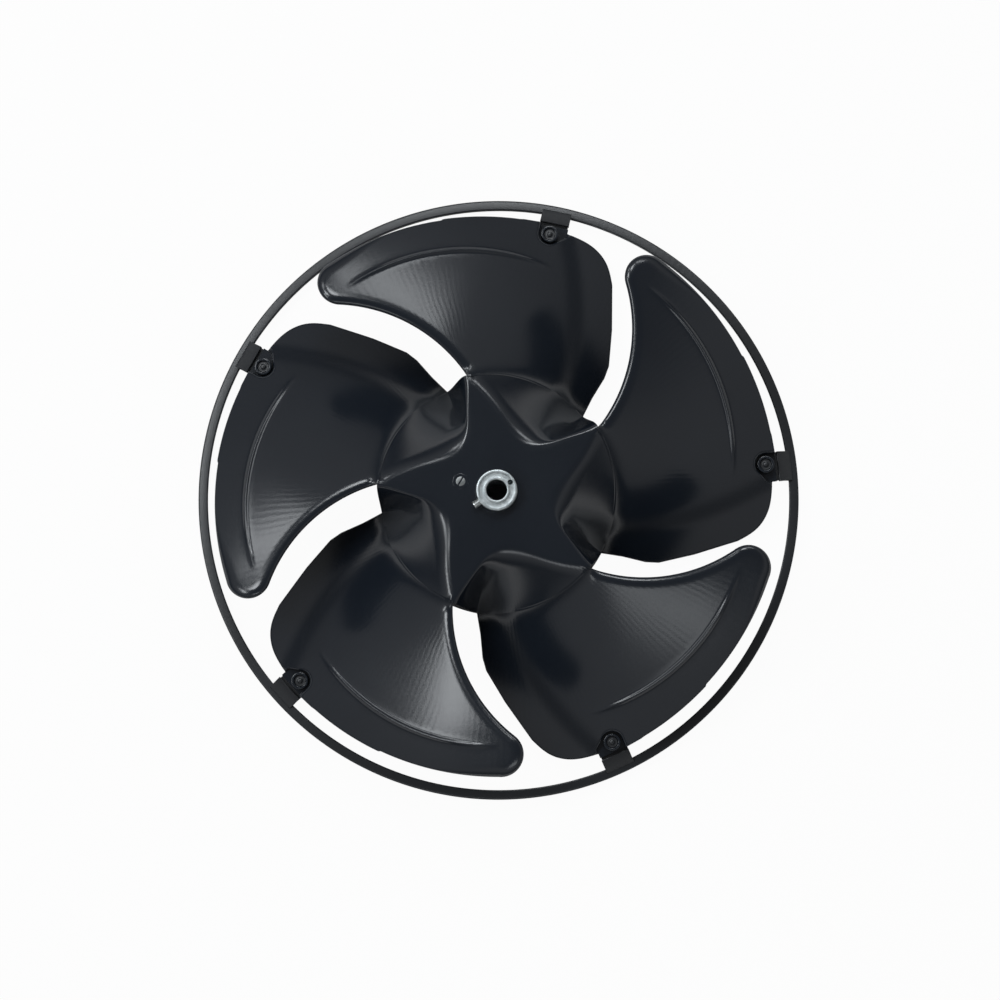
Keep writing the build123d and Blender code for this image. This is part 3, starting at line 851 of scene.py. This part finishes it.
dress(make_rotor(), plastic("rotor_plastic", *ROTOR_FINISH), "fan_rotor")
dress(make_ring(), plastic("ring_plastic", *RING_FINISH), "slinger_ring")
dress(make_bushing(), metal("zinc_steel", *ZINC_FINISH), "hub_bushing")
dress(make_screw(), metal("screw_steel", *SCREW_FINISH), "set_screw")
dress(make_plug(), metal("weight_steel", *WEIGHT_FINISH), "balance_weight")

# Floor: grey under the hub, almost white to the camera outside it and to mirrored rays further out
FLOOR_SIZE, FLOOR_SUNK = 1.6, 0.0002
FLOOR_GREY, FLOOR_ROUGH, FLOOR_SHINE = 0.55, 0.8, 0.1
FLOOR_GLOW = 0.96
HUB_SHADE = 0.055, 0.072
FAN_SHADE = 0.30, 0.60


def make_floor():
    bpy.ops.mesh.primitive_plane_add(size=FLOOR_SIZE, location=(0, 0, -FLOOR_SUNK))
    floor = bpy.context.object
    floor.name = "floor"
    mat, nodes, links, shader = material("floor")
    shader.inputs["Base Color"].default_value = (FLOOR_GREY, FLOOR_GREY, FLOOR_GREY, 1)
    shader.inputs["Roughness"].default_value = FLOOR_ROUGH
    shader.inputs["Specular IOR Level"].default_value = FLOOR_SHINE
    glow = nodes.new("ShaderNodeEmission")
    glow.inputs["Strength"].default_value = 1.0
    path = nodes.new("ShaderNodeLightPath").outputs
    mirrored = mathnode(nodes, links, "MAXIMUM", path["Is Glossy Ray"], path["Is Transmission Ray"])
    reach = nodes.new("ShaderNodeVectorMath")
    reach.operation = "LENGTH"
    links.new(nodes.new("ShaderNodeTexCoord").outputs["Object"], reach.inputs[0])
    direct = spread(nodes, links, reach.outputs["Value"], 0.0, FLOOR_GLOW, *HUB_SHADE)
    shaded = spread(nodes, links, reach.outputs["Value"], 0.0, FLOOR_GLOW, *FAN_SHADE)
    share = mathnode(nodes, links, "MAXIMUM",
                     mathnode(nodes, links, "MULTIPLY", direct, path["Is Camera Ray"]),
                     mathnode(nodes, links, "MULTIPLY", shaded, mirrored))
    mix = nodes.new("ShaderNodeMixShader")
    links.new(share, mix.inputs["Fac"])
    links.new(shader.outputs["BSDF"], mix.inputs[1])
    links.new(glow.outputs["Emission"], mix.inputs[2])
    links.new(mix.outputs["Shader"], nodes["Material Output"].inputs["Surface"])
    floor.data.materials.append(mat)


make_floor()

# Lamps: name, azimuth clockwise from +Y, angle from straight up, width, height, radiance
LAMPS = (("key_left", -66, 29, 0.5, 0.5, 12.0),
         ("key_top", -2, 30, 0.5, 0.5, 12.0),
         ("strip_left", -100, 42.5, 0.70, 0.29, 9.0),
         ("strip_upper_left", -43, 43.5, 0.5, 0.25, 8.0),
         ("strip_upper_right", 25, 45.5, 0.8, 0.27, 6.3),
         ("strip_front", -176, 41.5, 0.9, 0.34, 2.6))
LAMP_COLOUR = (0.93, 0.97, 1.0)
LAMP_DISTANCE = 2.0
LAMP_AIM = Vector((0, 0, 0.05))


def make_lamp(name, azimuth, from_top, width, height, radiance):
    data = bpy.data.lights.new(name, "AREA")
    data.shape = "RECTANGLE"
    data.size, data.size_y = width, height
    data.energy = radiance * pi * width * height
    data.color = LAMP_COLOUR
    lamp = bpy.data.objects.new(name, data)
    a, t = radians(azimuth), radians(from_top)
    lamp.location = LAMP_DISTANCE * Vector((sin(a) * sin(t), cos(a) * sin(t), cos(t)))
    lamp.rotation_mode = "QUATERNION"
    lamp.rotation_quaternion = (LAMP_AIM - lamp.location).to_track_quat("-Z", "Y")
    bpy.context.scene.collection.objects.link(lamp)


for row in LAMPS:
    make_lamp(*row)

# Studio walls: sine of the elevation and level there; dim at the horizon and overhead, lighter between
WALLS = ((0.0, 0.10), (0.15, 0.11), (0.50, 0.47), (0.64, 0.48), (0.76, 0.20), (1.0, 0.14))
WHITE = 1.0


def make_world():
    # White to the camera, and to mirrored rays that go below the horizon.
    world = bpy.data.worlds.new("studio")
    bpy.context.scene.world = world
    world.use_nodes = True
    nodes, links = world.node_tree.nodes, world.node_tree.links
    backdrop = nodes["Background"]
    backdrop.inputs["Color"].default_value = (1.0, 1.0, 1.0, 1)
    path = nodes.new("ShaderNodeLightPath").outputs
    way = nodes.new("ShaderNodeSeparateXYZ")
    links.new(nodes.new("ShaderNodeTexCoord").outputs["Generated"], way.inputs["Vector"])
    walls = ramp(nodes, links, way.outputs["Z"], [(place, (v, v, v)) for place, v in WALLS])
    below = mathnode(nodes, links, "LESS_THAN", way.outputs["Z"], 0.0)
    mirrored = mathnode(nodes, links, "MAXIMUM", path["Is Glossy Ray"], path["Is Transmission Ray"])
    shown = mathnode(nodes, links, "MAXIMUM", path["Is Camera Ray"],
                     mathnode(nodes, links, "MULTIPLY", mirrored, below))
    level = mathnode(nodes, links, "MAXIMUM", walls, mathnode(nodes, links, "MULTIPLY", shown, WHITE))
    links.new(level, backdrop.inputs["Strength"])


make_world()

# Camera: almost straight above the star face
TILT_X, TILT_Y = 0.7, 4.0
DISTANCE, SENSOR, LENS = 2.2, 36.0, 124.3
AIM = Vector((1.0 * MM, -0.3 * MM, 0.0))


def make_camera():
    data = bpy.data.cameras.new("camera")
    data.sensor_width = SENSOR
    data.lens = LENS
    camera = bpy.data.objects.new("camera", data)
    bpy.context.scene.collection.objects.link(camera)
    back = Vector((tan(radians(TILT_X)), -tan(radians(TILT_Y)), 1.0)).normalized()
    right = Vector((0, 1, 0)).cross(back).normalized()
    turn = Matrix((right, back.cross(right), back)).transposed().to_4x4()
    camera.matrix_world = Matrix.Translation(AIM + back * DISTANCE) @ turn
    bpy.context.scene.camera = camera


make_camera()
bpy.context.scene.view_settings.view_transform = "Standard"
